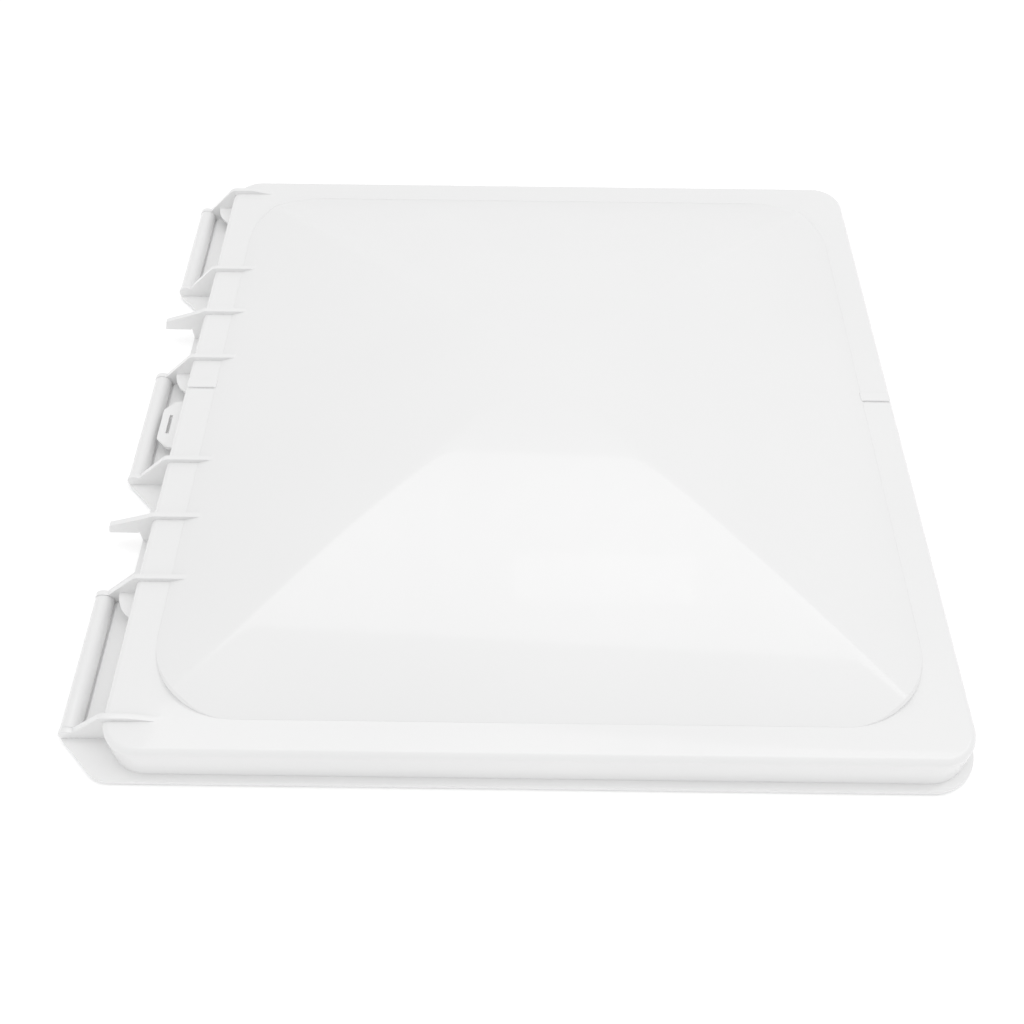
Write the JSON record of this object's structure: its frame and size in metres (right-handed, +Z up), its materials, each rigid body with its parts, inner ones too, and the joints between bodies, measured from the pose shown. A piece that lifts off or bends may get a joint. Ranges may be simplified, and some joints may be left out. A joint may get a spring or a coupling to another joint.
{
  "type": "roof vent cover",
  "caption": "Square white domed lid for a caravan roof vent, with hinge rods in gusset fins, foam seal, and a slotted lift rail with sliding shoe under the dome.",
  "frame": {"origin": "on the plane of the lip's underside, under the middle of the whole cover, hinge rods included", "axes": "+Z up out of the dome, -X towards the hinge rods, +X towards the latch side, Y along the hinge axis"},
  "size_m": [0.4246, 0.4044, 0.0625],
  "materials": {
    "lid": "satin gloss moulded polypropylene",
    "rod": "satin gloss moulded polypropylene",
    "seal": "matt closed-cell foam",
    "rail": "galvanised, spangled",
    "screw": "bright zinc plate",
    "washer": "bright zinc plate",
    "shoe": "natural nylon",
    "pin": "turned, bright",
    "clip": "blackened spring steel"
  },
  "bodies": {
    "lid": {"lid_shell": "lid", "lift_rail": "rail", "seal_hinge_side": "seal", "seal_front": "seal", "seal_latch_side": "seal", "seal_rear": "seal", "rail_screw_1": "screw", "rail_washer_1": "washer", "rail_screw_2": "screw", "rail_washer_2": "washer", "rail_screw_3": "screw", "rail_washer_3": "washer", "rail_screw_4": "screw", "rail_washer_4": "washer"},
    "rod_front": {"hinge_rod_front": "rod"},
    "rod_middle": {"hinge_rod_middle": "rod"},
    "rod_rear": {"hinge_rod_rear": "rod"},
    "shoe": {"slide_shoe": "shoe"},
    "pin": {"arm_pin": "pin", "pin_clip": "clip"}
  },
  "joints": [
    {"name": "hinge_middle", "type": "hinge", "parent": "lid", "child": "rod_middle", "pos_m": [-0.20735, 0.0023, 0.0048], "axis": [0, 1, 0], "range_deg": [0, 80]},
    {"name": "hinge_front", "type": "hinge", "parent": "lid", "child": "rod_front", "pos_m": [-0.20735, -0.1437, 0.0048], "axis": [0, 1, 0], "range_deg": [0, 80]},
    {"name": "hinge_rear", "type": "hinge", "parent": "lid", "child": "rod_rear", "pos_m": [-0.20735, 0.1483, 0.0048], "axis": [0, 1, 0], "range_deg": [0, 80]},
    {"name": "shoe_slide", "type": "slide", "parent": "lid", "child": "shoe", "axis": [1, 0, 0], "range_m": [-0.06, 0.06]},
    {"name": "arm_pivot", "type": "hinge", "parent": "shoe", "child": "pin", "pos_m": [0.01015, 0, 0.0085], "axis": [0, 1, 0], "range_deg": [0, 85]}
  ],
  "couplings": [
    {"joint": "hinge_front", "follows": "hinge_middle", "ratio": 1},
    {"joint": "hinge_rear", "follows": "hinge_middle", "ratio": 1}
  ]
}
